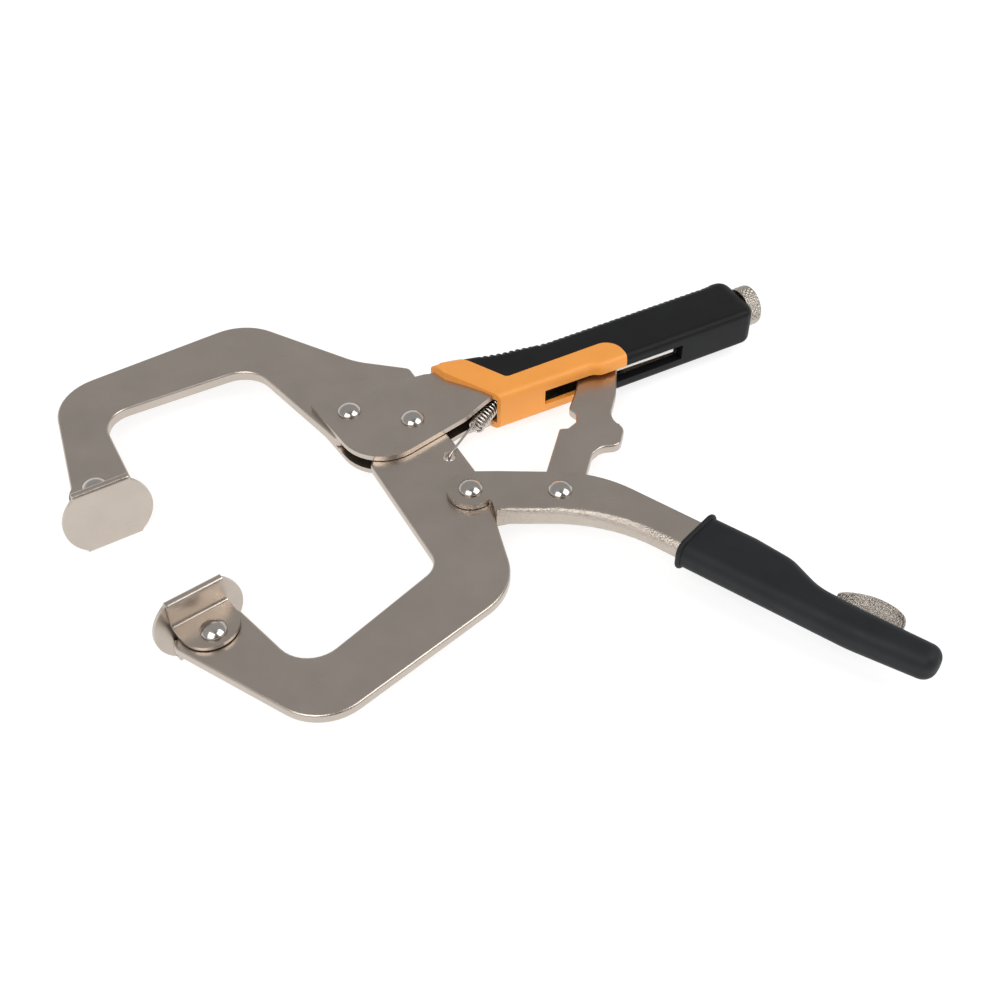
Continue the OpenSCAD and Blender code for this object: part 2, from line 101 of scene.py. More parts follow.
def ramp(tree, fac, stops):
    """Colour ramp from (position, colour) stops."""
    r = tree.nodes.new("ShaderNodeValToRGB")
    e = r.color_ramp.elements
    while len(e) < len(stops):
        e.new(0.5)
    for el, (pos, col) in zip(e, stops):
        el.position = pos
        el.color = (*col, 1)
    tree.links.new(fac, r.inputs["Fac"])
    return r.outputs["Color"]


def grey(v):
    return (v, v, v)


def bump(tree, shader, layers):
    """Chain of bump nodes from (height, strength, distance in metres)."""
    normal = None
    for height, strength, dist in layers:
        b = tree.nodes.new("ShaderNodeBump")
        b.inputs["Strength"].default_value = strength
        b.inputs["Distance"].default_value = dist
        tree.links.new(height, b.inputs["Height"])
        if normal:
            tree.links.new(normal, b.inputs["Normal"])
        normal = b.outputs["Normal"]
    tree.links.new(normal, shader.inputs["Normal"])


def scratches(tree, coord, scale, width, turn):
    """Sparse hairline marks: narrow bands of a stretched noise."""
    m = tree.nodes.new("ShaderNodeMapping")
    m.inputs["Rotation"].default_value = (0, 0, turn)
    m.inputs["Scale"].default_value = (scale * 0.06, scale, scale)
    tree.links.new(coord, m.inputs["Vector"])
    n = tree.nodes.new("ShaderNodeTexNoise")
    n.inputs["Scale"].default_value = 1.0
    n.inputs["Detail"].default_value = 2.0
    tree.links.new(m.outputs["Vector"], n.inputs["Vector"])
    return ramp(tree, n.outputs["Fac"], [(0.0, grey(0)), (0.66, grey(0)), (0.66 + width, grey(1))])


def off_flats(tree, coord, height, flat):
    """The height kept only on the bends: it fades out towards the flat faces."""
    split = tree.nodes.new("ShaderNodeSeparateXYZ")
    tree.links.new(coord, split.inputs[0])
    fade = tree.nodes.new("ShaderNodeMapRange")
    away = tree.nodes.new("ShaderNodeMath")
    away.operation = "ABSOLUTE"
    from_mid = tree.nodes.new("ShaderNodeMath")
    from_mid.operation = "SUBTRACT"
    from_mid.inputs[1].default_value = MID_Z
    tree.links.new(split.outputs["Z"], from_mid.inputs[0])
    tree.links.new(from_mid.outputs[0], away.inputs[0])
    tree.links.new(away.outputs[0], fade.inputs["Value"])
    fade.inputs["From Min"].default_value = flat - 0.5 * MM
    fade.inputs["From Max"].default_value = flat - 0.08 * MM
    fade.inputs["To Min"].default_value = 1.0
    fade.inputs["To Max"].default_value = 0.0
    times = tree.nodes.new("ShaderNodeMath")
    times.operation = "MULTIPLY"
    tree.links.new(height, times.inputs[0])
    tree.links.new(fade.outputs[0], times.inputs[1])
    return times.outputs[0]


def steel(name, dark, light, rough, grain, marks=0.25, grit=0.0, flat=0.0):
    """Plated steel; grit in tenths of a millimetre, off the flats when their height is given."""
    mat = bpy.data.materials.new(name)
    tree, shader, coord = nodes_of(mat)
    shader.inputs["Metallic"].default_value = 1.0
    shader.inputs["IOR"].default_value = 2.2
    cloud = noise(tree, coord, 55, 5, 0.6)
    tree.links.new(ramp(tree, cloud, [(0.3, dark), (0.7, light)]), shader.inputs["Base Color"])
    patch = noise(tree, coord, 130, 4, 0.65)
    tree.links.new(ramp(tree, patch, [(0.25, grey(rough - 0.05)), (0.75, grey(rough + 0.06))]),
                   shader.inputs["Roughness"])
    layers = [(noise(tree, coord, 1500, 3, 0.6), grain, 0.0002)]
    if marks:
        layers.append((scratches(tree, coord, 900, 0.05, 0.4), marks, 0.00005))
    if grit:
        height = noise(tree, coord, 1900, 2, 0.6)
        if flat:
            height = off_flats(tree, coord, height, flat)
        layers.append((height, 1.0, grit * 0.0001))
    bump(tree, shader, layers)
    return mat


def plastic(name, dark, light, rough, grain, scale, spec=0.5):
    mat = bpy.data.materials.new(name)
    tree, shader, coord = nodes_of(mat)
    shader.inputs["Specular IOR Level"].default_value = spec
    cloud = noise(tree, coord, 70, 4, 0.6)
    tree.links.new(ramp(tree, cloud, [(0.3, dark), (0.7, light)]), shader.inputs["Base Color"])
    patch = noise(tree, coord, 160, 4, 0.6)
    tree.links.new(ramp(tree, patch, [(0.25, grey(rough - 0.05)), (0.75, grey(rough + 0.05))]),
                   shader.inputs["Roughness"])
    bump(tree, shader, [(noise(tree, coord, scale, 4, 0.6), grain, 0.0002)])
    return mat


PLATE = steel("satin_nickel_plate", (0.50, 0.440, 0.385), (0.56, 0.492, 0.432), 0.30, 0.10)
CHANNEL = steel("satin_nickel_channel", (0.50, 0.440, 0.382), (0.56, 0.492, 0.428), 0.24, 0.08,
                grit=3.0, flat=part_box("lever_channel")[1].z - MID_Z)
RIVET = steel("polished_rivet", (0.50, 0.46, 0.43), (0.60, 0.56, 0.52), 0.17, 0.02, marks=0.0)
WIRE = steel("bright_wire", (0.56, 0.52, 0.48), (0.64, 0.60, 0.55), 0.18, 0.05, marks=0.0)
KNOB = steel("nickel_knob", (0.46, 0.42, 0.365), (0.55, 0.50, 0.44), 0.28, 0.08, marks=0.0)
GRIT = steel("pressed_paddle", (0.38, 0.34, 0.30), (0.48, 0.43, 0.385), 0.2, 0.14, grit=5.0)
# near-white non-metal finish: a painted reflection standing in for the glare on the steel edge in the grip's slot
PAINTED_GLARE = plastic("painted_glare_folded_edge", (0.86, 0.85, 0.83), (0.95, 0.94, 0.92), 0.35, 0.05, 900)
RUBBER = plastic("black_grip_rubber", (0.0032, 0.0034, 0.0038), (0.0055, 0.0058, 0.0064), 0.52,
                 0.22, 1600, spec=0.24)
SLEEVE = plastic("dipped_sleeve_rubber", (0.0075, 0.0084, 0.0096), (0.012, 0.0132, 0.015), 0.58,
                 0.16, 1200, spec=0.32)
ORANGE = plastic("orange_collar_plastic", (0.90, 0.345, 0.055), (0.95, 0.37, 0.062), 0.42,
                 0.12, 1100)

FINISH = {
    "fixed_jaw": PLATE, "moving_jaw": PLATE, "body_channel": PLATE, "toggle_link": PLATE,
    "fixed_pad": PLATE, "moving_pad": PLATE, "lever_channel": CHANNEL, "release_lever": GRIT,
    "jaw_spring": WIRE, "spring_anchor": RIVET, "release_pin": RIVET, "screw_knob": KNOB,
    "adjusting_screw": KNOB, "screw_nut": KNOB, "handle_grip": RUBBER, "lever_sleeve": SLEEVE,
    "handle_collar": ORANGE,
}
for key, ob in NODES.items():
    ob.data.materials.clear()
    ob.data.materials.append(FINISH.get(key, RIVET))

# ---------------------------------------------------------------- mesh tools

def cover(me, mat):
    """One material and smooth faces."""
    me.materials.clear()
    me.materials.append(mat)
    for p in me.polygons:
        p.use_smooth = True


def link(name, bm, mat):
    me = bpy.data.meshes.new(name)
    bm.to_mesh(me)
    bm.free()
    cover(me, mat)
    ob = bpy.data.objects.new(name, me)
    bpy.context.scene.collection.objects.link(ob)
    return ob


def weighted(ob):
    m = ob.modifiers.new("normals", "WEIGHTED_NORMAL")
    m.mode = "FACE_AREA"
    m.weight = 90
    m.keep_sharp = False


def bevel(ob, width, segments=2, angle=40):
    m = ob.modifiers.new("edges", "BEVEL")
    m.width = width
    m.segments = segments
    m.limit_method = "ANGLE"
    m.angle_limit = math.radians(angle)
    m.harden_normals = False


def thicken(ob, sheet, offset):
    m = ob.modifiers.new("sheet", "SOLIDIFY")
    m.thickness = sheet * MM
    m.offset = offset
    m.use_even_offset = False


def key_of(co):
    return (round(co.x * 1e5), round(co.y * 1e5), round(co.z * 1e5))


def face_loops(node, above):
    """Outlines of the upward faces of a CAD node over a height, material on the left."""
    me = NODES[node].data
    where, edges = {}, set()
    for p in me.polygons:
        if p.normal.z < 0.5 or p.center.z < above:
            continue
        ks = []
        for i in p.vertices:
            k = key_of(me.vertices[i].co)
            where[k] = me.vertices[i].co.copy()
            ks.append(k)
        for a, b in zip(ks, ks[1:] + ks[:1]):
            if a == b:
                continue
            if (b, a) in edges:
                edges.discard((b, a))
            else:
                edges.add((a, b))
    follow = {a: b for a, b in edges}
    loops = []
    while follow:
        loop, at = [], min(follow)
        while at in follow:
            loop.append(where[at])
            at = follow.pop(at)
        if len(loop) > 3:
            loops.append(loop)
    loops.sort(key=lambda l: -abs(area(l)))
    return loops


def area(loop):
    return 0.5 * sum(a.x * b.y - b.x * a.y for a, b in zip(loop, loop[1:] + loop[:1]))


def finer(loop, step):
    """Loop with points added so that none are further apart than about a step."""
    out = []
    for a, b in zip(loop, loop[1:] + loop[:1]):
        n = max(1, int((b - a).length / step))
        out += [a.lerp(b, k / n) for k in range(n)]
    return out


def offsets(loop):
    """Unit inward offset at each corner of a loop, mitred."""
    out = []
    n = len(loop)
    for i in range(n):
        a, b, c = loop[i - 1], loop[i], loop[(i + 1) % n]
        d0 = Vector((b.x - a.x, b.y - a.y)).normalized()
        d1 = Vector((c.x - b.x, c.y - b.y)).normalized()
        n0, n1 = Vector((-d0.y, d0.x)), Vector((-d1.y, d1.x))
        k = 1 + max(-0.6, n0.dot(n1))
        out.append((n0 + n1) / k)
    return out


def rings(bm, loop, top, low, radius, steps, dirs=None):
    """Closed wall of a loop whose upper and lower edges are rounded; returns its rings."""
    dirs = dirs or offsets(loop)
    made = []
    turn = [math.pi / 2 * k / steps for k in range(steps, -1, -1)]
    levels = [(1, a) for a in turn] + [(-1, a) for a in reversed(turn)]
    for side, a in levels:
        ring = []
        for p, d in zip(loop, dirs):
            r = radius(p)
            z = top(p) - r * (1 - math.sin(a)) if side > 0 else low(p) + r * (1 - math.sin(a))
            inset = r * (1 - math.cos(a))
            ring.append(bm.verts.new((p.x + d.x * inset, p.y + d.y * inset, z)))
        made.append(ring)
    return made


def skin(bm, made, keep=None):
    """Wall between rings, only where neighbouring corners are both kept."""
    n = len(made[0])
    for up, dn in zip(made, made[1:]):
        for i in range(n):
            j = (i + 1) % n
            if keep and not (keep[i] and keep[j]):
                continue
            bm.faces.new((dn[i], dn[j], up[j], up[i]))


def cap(bm, ring_list, up):
    """Flat face over an outline and its holes."""
    edges = []
    for ring in ring_list:
        for a, b in zip(ring, ring[1:] + ring[:1]):
            edges.append(bm.edges.get((a, b)) or bm.edges.new((a, b)))
    got = bmesh.ops.triangle_fill(bm, use_beauty=True, use_dissolve=False, edges=edges)
    faces = [f for f in got["geom"] if isinstance(f, bmesh.types.BMFace)]
    for f in faces:
        f.normal_update()
        if (f.normal.z > 0) != up:
            f.normal_flip()


def plate(name, node, half, edge):
    """Flat plate with rounded edges, from the outlines of its CAD node."""
    steps, step, hole_edge = 4, 4.0, 0.15
    loops = face_loops(node, MID_Z)
    bm = bmesh.new()
    tops, lows = [], []
    for k, loop in enumerate(loops):
        loop = finer(loop, step * MM) if k == 0 else loop
        r = (edge if k == 0 else hole_edge) * MM
        made = rings(bm, loop, lambda p: MID_Z + half * MM, lambda p: MID_Z - half * MM,
                     lambda p: r, steps)
        skin(bm, made)
        tops.append(made[0])
        lows.append(made[-1])
    cap(bm, tops, True)
    cap(bm, lows, False)
    bmesh.ops.recalc_face_normals(bm, faces=bm.faces)
    ob = link(name, bm, PLATE)
    weighted(ob)
    return ob


def web_lines(node):
    """Plan segments of the CAD walls that cross mid thickness."""
    me = NODES[node].data
    found = []
    for p in me.polygons:
        pts = [me.vertices[i].co for i in p.vertices]
        if abs(p.normal.z) > 0.3 or min(q.z for q in pts) > MID_Z or max(q.z for q in pts) < MID_Z:
            continue
        flat = [q.xy for q in pts]
        a, b = max(((a, b) for a in flat for b in flat), key=lambda t: (t[0] - t[1]).length)
        found.append((a, b))
    return found


def on_lines(p, lines):
    near = 0.06 * MM
    for a, b in lines:
        d = b - a
        t = max(0.0, min(1.0, (p.xy - a).dot(d) / max(1e-12, d.dot(d))))
        if (a + d * t - p.xy).length < near:
            return True
    return False


def channel(name, node, mat, bend, half, flare=None, steps=6, grown=0.0):
    """Sheet folded into a channel: two side walls joined by a web with rounded bends.

    The bends grow by `grown` along the web; `flare` is (from x, to x, widening).
    """
    step, growth_length = 2.0, 55.0
    loops = face_loops(node, MID_Z + 3.0 * MM)
    web = web_lines(node)
    bm = bmesh.new()
    tops, lows = [], []
    for k, loop in enumerate(loops):
        flags = []
        dense = finer(loop, step * MM)
        for i, p in enumerate(dense):
            flags.append(k == 0 and on_lines(p, web) and
                         (on_lines(p.lerp(dense[i - 1], 0.5), web) or
                          on_lines(p.lerp(dense[(i + 1) % len(dense)], 0.5), web)))
        size = [bend * a + grown * b for a, b in zip(run_length(dense, flags),
                                                     run_length(dense, flags, growth_length))]
        made = rings(bm, dense, lambda p: MID_Z + half, lambda p: MID_Z - half,
                     lambda p, q=dict(zip(map(id, dense), size)): MM * q[id(p)], steps)
        skin(bm, made, flags)
        tops.append(made[0])
        lows.append(made[-1])
    cap(bm, tops, True)
    cap(bm, lows, False)
    loose = [v for v in bm.verts if not v.link_faces]
    bmesh.ops.delete(bm, geom=loose, context="VERTS")
    bmesh.ops.remove_doubles(bm, verts=bm.verts, dist=0.02 * MM)
    if flare:
        start, end, widen = flare
        cuts = 14
        for k in range(cuts + 1):
            bmesh.ops.bisect_plane(bm, geom=bm.verts[:] + bm.edges[:] + bm.faces[:],
                                   dist=1e-7, plane_no=(1, 0, 0),
                                   plane_co=(start + (end - start) * k / cuts, 0, 0))
        for v in bm.verts:
            v.co.z = MID_Z + (v.co.z - MID_Z) * widen(v.co)
    bmesh.ops.recalc_face_normals(bm, faces=bm.faces)
    ob = link(name, bm, mat)
    thicken(ob, SHEET, -1)
    bevel(ob, 0.75 * MM, 4, 50)
    weighted(ob)
    return ob


def run_length(dense, flags, ramp_mm=5.0):
    """Share of the full bend radius: it grows over the first millimetres of the web."""
    n = len(dense)
    out = [0.0] * n
    for way in (1, -1):
        dist = 0.0
        got = [0.0] * n
        order = [(way * i) % n for i in range(2 * n)]
        for i, prev in zip(order[1:], order):
            if not flags[i]:
                dist = 0.0
            else:
                dist += (dense[i] - dense[prev]).length
                got[i] = min(1.0, dist / (ramp_mm * MM))
        out = got if way == 1 else [min(a, b) for a, b in zip(out, got)]
    return [x * x * (3 - 2 * x) for x in out]


def bridge(bm, made, ends=True):
    """Wall from each ring to the next, closed off at both ends."""
    for a, b in zip(made, made[1:]):
        for k in range(len(a)):
            j = (k + 1) % len(a)
            bm.faces.new((a[k], a[j], b[j], b[k]))
    if ends:
        bm.faces.new(made[0])
        bm.faces.new(made[-1])


def lathe(bm, centre, profile, count):
    """Turned shape from (radius, height) pairs in millimetres about an upright axis."""
    made = []
    for r, h in profile:
        ring = []
        for k in range(count):
            t = 2 * math.pi * k / count
            off = Vector((r * math.cos(t), r * math.sin(t), h)) * MM
            ring.append(bm.verts.new(centre + off))
        made.append(ring)
    bridge(bm, made)


def tube(bm, path, radius, count):
    """Round wire along a list of points."""
    n = len(path)
    made = []
    up = None
    for i, p in enumerate(path):
        a = path[max(i - 1, 0)]
        b = path[min(i + 1, n - 1)]
        t = (b - a).normalized()
        if up is None:
            up = t.orthogonal().normalized()
        up = (up - t * up.dot(t)).normalized()
        side = t.cross(up)
        made.append([bm.verts.new(p + (up * math.cos(2 * math.pi * k / count) +
                                       side * math.sin(2 * math.pi * k / count)) * radius)
                     for k in range(count)])
    bridge(bm, made)


def prism(points, z0, z1):
    """Closed block over a plan outline, used as a cutter."""
    bm = bmesh.new()
    a = [bm.verts.new((p.x, p.y, z0)) for p in points]
    b = [bm.verts.new((p.x, p.y, z1)) for p in points]
    bm.faces.new(a)
    bm.faces.new(b)
    n = len(points)
    for i in range(n):
        j = (i + 1) % n
        bm.faces.new((a[i], a[j], b[j], b[i]))
    bmesh.ops.recalc_face_normals(bm, faces=bm.faces)
    me = bpy.data.meshes.new("cutter")
    bm.to_mesh(me)
    bm.free()
    ob = bpy.data.objects.new("cutter", me)
    bpy.context.scene.collection.objects.link(ob)
    return ob


def carve(mesh_ob, cutter, operation):
    """Mesh of mesh_ob after a boolean with the cutter; both objects stay."""
    m = mesh_ob.modifiers.new("cut", "BOOLEAN")
    m.operation = operation
    m.solver = "EXACT"
    m.object = cutter
    dg = bpy.context.evaluated_depsgraph_get()
    me = bpy.data.meshes.new_from_object(mesh_ob.evaluated_get(dg))
    mesh_ob.modifiers.remove(m)
    return me


def drop(*obs):
    for o in obs:
        bpy.data.objects.remove(o)

# ---------------------------------------------------------------- plates

def fit(piece, body, *stands_for):
    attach(piece, body)
    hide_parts(*stands_for)
    return piece


fixed_half = (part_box("fixed_jaw")[1].z - MID_Z) / MM
jaw_half = (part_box("moving_jaw")[1].z - MID_Z) / MM
fit(plate("jaw_plate_fixed", "fixed_jaw", fixed_half, 0.9), "body", "fixed_jaw")
fit(plate("jaw_plate_moving", "moving_jaw", jaw_half, 0.9), "jaw", "moving_jaw")
fit(plate("link_plate", "toggle_link", jaw_half, 0.8), "link", "toggle_link")

# ---------------------------------------------------------------- channels

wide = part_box("body_channel")[1].z - MID_Z
narrow = 4.2 * MM
flare_from, flare_to = PIVOT.x + 14.8 * MM, PIVOT.x + 28.6 * MM


def body_flare(p):
    t = min(1.0, max(0.0, (p.x - flare_from) / (flare_to - flare_from)))
    return 1 + (wide / narrow - 1) * t * t * (3 - 2 * t)


lever_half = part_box("lever_channel")[1].z - MID_Z
fit(channel("handle_channel_fixed", "body_channel", PLATE, 1.6, narrow,
            flare=(flare_from, flare_to, body_flare)), "body", "body_channel")
fit(channel("handle_channel_moving", "lever_channel", CHANNEL, 2.0, lever_half,
            steps=10, grown=1.9), "lever", "lever_channel")

# ---------------------------------------------------------------- rivets

def rivet(name, node, body):
    """Domed heads on both sides of a plain shank."""
    low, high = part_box(node)
    r, top = (high.x - low.x) / 2 / MM, (high.z - MID_Z) / MM
    head, shank = 2.4, r * 0.72
    rise = head - 0.45
    ball = (r * r + rise * rise) / (2 * rise)
    spread = math.asin(r / ball)
    side = [(ball * math.sin(a), top - ball * (1 - math.cos(a)))
            for a in [spread * k / 14 for k in range(15)]]
    side += [(r, top - head + 0.1), (shank, top - head + 0.05), (shank, 0)]
    profile = side + [(a, -b) for a, b in reversed(side[:-1])]
    profile[0] = (1e-3, profile[0][1])
    profile[-1] = (1e-3, profile[-1][1])
    bm = bmesh.new()
    lathe(bm, Vector(((low.x + high.x) / 2, (low.y + high.y) / 2, MID_Z)), profile, 48)
    bmesh.ops.recalc_face_normals(bm, faces=bm.faces)
    fit(link(name, bm, RIVET), body, node)


for label, node, body in (
        ("rivet_jaw", "fixed_jaw_rivet", "body"), ("rivet_pivot", "jaw_pivot_rivet", "body"),
        ("rivet_pad_fixed", "fixed_pad_rivet", "body"),
        ("rivet_pad_moving", "moving_pad_rivet", "jaw"),
        ("rivet_lever", "lever_rivet", "lever"), ("rivet_toggle", "toggle_rivet", "lever")):
    rivet(label, node, body)

# ---------------------------------------------------------------- outlines

def rounded(corners, n=8):
    """Smooth outline from corners (x, y, radius) in millimetres about the jaw pivot."""
    out = []
    m = len(corners)
    for i in range(m):
        a, b, c = (Vector(corners[(i + k) % m][:2]) for k in (-1, 0, 1))
        r = corners[i][2]
        if r <= 0:
            out.append(b)
            continue
        u, w = (a - b).normalized(), (c - b).normalized()
        half = math.acos(max(-1, min(1, u.dot(w)))) / 2
        o = b + (u + w).normalized() * r / math.sin(half)
        p, q = b + u * r / math.tan(half), b + w * r / math.tan(half)
        s = math.atan2(p.y - o.y, p.x - o.x)
        e = math.atan2(q.y - o.y, q.x - o.x) - s
        e = e - 2 * math.pi if e > math.pi else e + 2 * math.pi if e < -math.pi else e
        out += [o + Vector((math.cos(s + e * k / n), math.sin(s + e * k / n))) * r
                for k in range(n + 1)]
    return [tool(p.x, p.y) for p in out]


def span(names, x):
    """Lowest and highest y of CAD nodes on the plane at x."""
    ys = []
    for name in names:
        me = NODES[name].data
        for e in me.edges:
            a, b = (me.vertices[i].co for i in e.vertices)
            if (a.x - x) * (b.x - x) <= 0 and abs(a.x - b.x) > 1e-9:
                ys.append(a.y + (b.y - a.y) * (x - a.x) / (b.x - a.x))
    return min(ys), max(ys)

# ---------------------------------------------------------------- handle mouldings

MOULDED = ("handle_grip", "handle_collar")
grip_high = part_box("handle_grip")[1]
collar_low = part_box("handle_collar")[0]
grip_half = grip_high.z - MID_Z
grip_end = grip_high.x
back_line = {}


def back_and_face(x):
    """Back and face height of the moulding, from the CAD where it is whole."""
    k = round(x * 1e5)
    if k not in back_line:
        seen = span(MOULDED, min(max(x, collar_low.x + 2 * MM), grip_end - 6 * MM))
        face = seen[0] if x > PIVOT.x + 33 * MM else span(MOULDED, PIVOT.x + 34 * MM)[0]
        back_line[k] = (face, seen[1])
    return back_line[k]


def moulding(shrink, ribs):
    """Closed body of the grip: rounded sections swept along the handle, ribbed on its back."""
    bm = bmesh.new()
    made = []
    first = collar_low.x - 0.5 * MM
    count = 320 if ribs else 100
    tip = 4.5 * MM
    # how far the rear end draws in at the face, the back and the sides
    draw_face, draw_back, draw_side = 4.2 * MM, 2.6 * MM, 1.8 * MM
    for i in range(count + 1):
        x = first + (grip_end - shrink - first) * i / count
        t = max(0.0, (x - (grip_end - tip)) / tip)
        shut = 1 - math.sqrt(max(0.0, 1 - t * t * 0.98))
        face, back = back_and_face(x)
        face += shrink + draw_face * shut
        back -= shrink + draw_back * shut
        half = grip_half - shrink - draw_side * shut
        if ribs:
            phase = (x - PIVOT.x) / (RIB_PITCH * MM)
            inside = min(1.0, max(0.0, (x - PIVOT.x - 34 * MM) / (4 * MM)),
                         max(0.0, (grip_end - 6 * MM - x) / (4 * MM)))
            dip = RIB_DEPTH * MM * inside * (0.5 - 0.5 * math.cos(2 * math.pi * phase))
        ring = []
        for cz, cy, r, a0 in ((1, 1, 4.2, 0), (-1, 1, 4.2, 90), (-1, -1, 2.6, 180),
                              (1, -1, 2.6, 270)):
            r = min(r * MM, half * 0.8)
            oz = cz * (half - r)
            oy = (back - r) if cy > 0 else (face + r)
            for k in range(9):
                a = math.radians(a0 + 11.25 * k)
                z, y = oz + r * math.cos(a), oy + r * math.sin(a)
                if ribs and y > back - r:
                    y -= dip * min(1.0, (y - back + r) / (0.3 * r))
                ring.append(Vector((x, y, MID_Z + z)))
        dense = []
        for k, (a, b) in enumerate(zip(ring, ring[1:] + ring[:1])):
            n = 6 if k % 9 == 8 else 1
            dense += [a.lerp(b, j / n) for j in range(n)]
        made.append([bm.verts.new(v) for v in dense])
    bridge(bm, made)
    bmesh.ops.recalc_face_normals(bm, faces=bm.faces)
    return bm


def box_cutter(x0, x1, y0, y1, z):
    """Box from x0 to x1 and y0 to y1, reaching z to both sides of mid thickness."""
    return prism([Vector((x0, y0)), Vector((x1, y0)), Vector((x1, y1)), Vector((x0, y1))],
                 MID_Z - z, MID_Z + z)


# Cutters: front end, colour parting, side slot, inside, and where the parting stops
UNDER, OVER = -0.05, 0.08
front_cut = prism(rounded([(17.2, 60, 0), (17.3, 22, 3), (19.4, 13, 9), (31.4, -8.6, 0.8),
                           (34, -60, 0), (200, -60, 0), (200, 60, 0)]), UNDER, OVER)
collar_cut = prism(rounded([(-20, 60, 0), (26, 60, 0), (26, 21.5, 0), (30.5, 14.5, 15),
                            (38.4, 0.2, 2.2), (84, 0.5, 6.5), (84, -9.3, 6.5), (76, -40, 0),
                            (-20, -40, 0)], 10), UNDER, OVER)
inner_y = PIVOT.y - 7.0 * MM
slot_cut = box_cutter(PIVOT.x + 49.8 * MM, PIVOT.x + 109 * MM, -0.2, PIVOT.y + 2 * MM, 3.3 * MM)
hollow_cut = box_cutter(PIVOT.x - 20 * MM, grip_end - 3 * MM, inner_y, PIVOT.y + 11 * MM,
                        5.3 * MM)
inner_cut = prism([tool(77, -60), tool(95, -60), tool(95, 20), tool(77, 20)],
                  MID_Z - 20 * MM, MID_Z + 3.2 * MM)
collar_cut.data = carve(collar_cut, inner_cut, "DIFFERENCE")


def cut_body(bm, name, mat, *steps):
    """Piece after its boolean cuts."""
    ob = link(name, bm, mat)
    for cutter, operation in steps:
        ob.data = carve(ob, cutter, operation)
    cover(ob.data, mat)
    return ob


grip = cut_body(moulding(0.18 * MM, True), "grip_moulded", RUBBER,
                (collar_cut, "DIFFERENCE"), (hollow_cut, "DIFFERENCE"),
                (slot_cut, "DIFFERENCE"))
collar = cut_body(moulding(0.0, False), "collar_moulded", ORANGE,
                  (collar_cut, "INTERSECT"), (front_cut, "INTERSECT"),
                  (hollow_cut, "DIFFERENCE"), (slot_cut, "DIFFERENCE"))
drop(front_cut, collar_cut, slot_cut, hollow_cut, inner_cut)
for ob, node in ((grip, "handle_grip"), (collar, "handle_collar")):
    bevel(ob, 0.45 * MM, 3, 42)
    weighted(ob)
    fit(ob, "body", node)


def slot_glare_strip():
    """Folded edge of the steel channel, seen through the grip's slot; its near-white non-metal finish is a painted
    reflection of the glare on the steel.
    """
    bm = bmesh.new()
    made = []
    for x, low in ((80, 1.2), (94, 0.9), (105.5, 0.7)):
        made.append([bm.verts.new(tool(x, y, z)) for y, z in
                     ((-9.6, low), (-9.6, 3.3), (-7.6, 3.3), (-7.6, low + 0.5))])
    bridge(bm, made)
    bmesh.ops.recalc_face_normals(bm, faces=bm.faces)
    # the strip's near-white colour is painted glare, not the steel's own colour
    ob = link("slot_glare_strip", bm, PAINTED_GLARE)
    bevel(ob, 0.2 * MM)
    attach(ob, "body")


slot_glare_strip()

# ---------------------------------------------------------------- sleeve

# Tail of the moving handle: its top and direction, and the room for the release lever
TAIL_TOP = Vector((62, -92))
TAIL = math.radians(-64)
TAIL_DIR = Vector((math.cos(TAIL), math.sin(TAIL)))
TAIL_OUT = Vector((-TAIL_DIR.y, TAIL_DIR.x))
PADDLE_FROM, PADDLE_TO = 46, 76


def tail(s, n, z=0.0):
    """Point along the moving handle's tail: s from its top, n outwards."""
    p = TAIL_TOP + TAIL_DIR * s + TAIL_OUT * n
    return tool(p.x, p.y, z)


def along_tail(p):
    """Length along the tail and offset outwards, in millimetres."""
    d = Vector((p.x - PIVOT.x, p.y - PIVOT.y)) / MM - TAIL_TOP
    return d.dot(TAIL_DIR), d.dot(TAIL_OUT)


def sleeve():
    """Dipped sleeve with a slot for the release lever; also returns its mouth."""
    outline = [l for l in face_loops("lever_sleeve", MID_Z + 5 * MM)
               if max(along_tail(p)[0] for p in l) > 60][0]
    half = (outline[0].z - MID_Z) / MM
    if area(outline) < 0:
        outline.reverse()
    first = min(range(len(outline)), key=lambda i: along_tail(outline[i])[0])
    other = (first + 1) % len(outline)
    if along_tail(outline[other])[0] > 4:
        other = first - 1
    pair = {first % len(outline), other % len(outline)}
    ends = [outline[i] for i in sorted(pair)]
    loop = [p for p in finer(outline, 1.5 * MM)
            if along_tail(p)[0] > 6 or min((p - e).length for e in ends) < 1e-7 or
            abs(along_tail(p)[1] - along_tail(ends[0])[1]) < 0.05 or
            abs(along_tail(p)[1] - along_tail(ends[1])[1]) < 0.05]
    dirs = offsets(loop)
    marks = [i for i, p in enumerate(loop) if min((p - e).length for e in ends) < 1e-7]
    mid = sum(along_tail(loop[i])[1] for i in marks) / len(marks)
    for i in marks:
        dirs[i] = TAIL_OUT * (1 if along_tail(loop[i])[1] < mid else -1)
    for i in marks:
        loop[i] = loop[i] - (TAIL_DIR * 1.3 * MM).to_3d()
    bm = bmesh.new()
    made = rings(bm, loop, lambda p: MID_Z + half * MM, lambda p: MID_Z - half * MM,
                 lambda p: min(4.6, half - 0.6) * MM, 8, dirs)
    skin(bm, made)
    cap(bm, [made[0]], True)
    cap(bm, [made[-1]], False)
    bmesh.ops.recalc_face_normals(bm, faces=bm.faces)
    slot = prism([tail(s, n) for s, n in ((PADDLE_FROM, -9), (PADDLE_FROM, 12),
                                          (PADDLE_TO, 12), (PADDLE_TO, -9))],
                 MID_Z - 3.6 * MM, MID_Z + 3.6 * MM)
    body = cut_body(bm, "sleeve_dipped", SLEEVE, (slot, "DIFFERENCE"))
    drop(slot)
    bevel(body, 0.5 * MM, 3, 50)
    weighted(body)
    mouth = sorted((along_tail(loop[i]) for i in marks), key=lambda sn: sn[1])
    return body, mouth, half


body_piece, ((s_low, n_low), (s_high, n_high)), sleeve_half = sleeve()
fit(body_piece, "lever", "lever_sleeve")


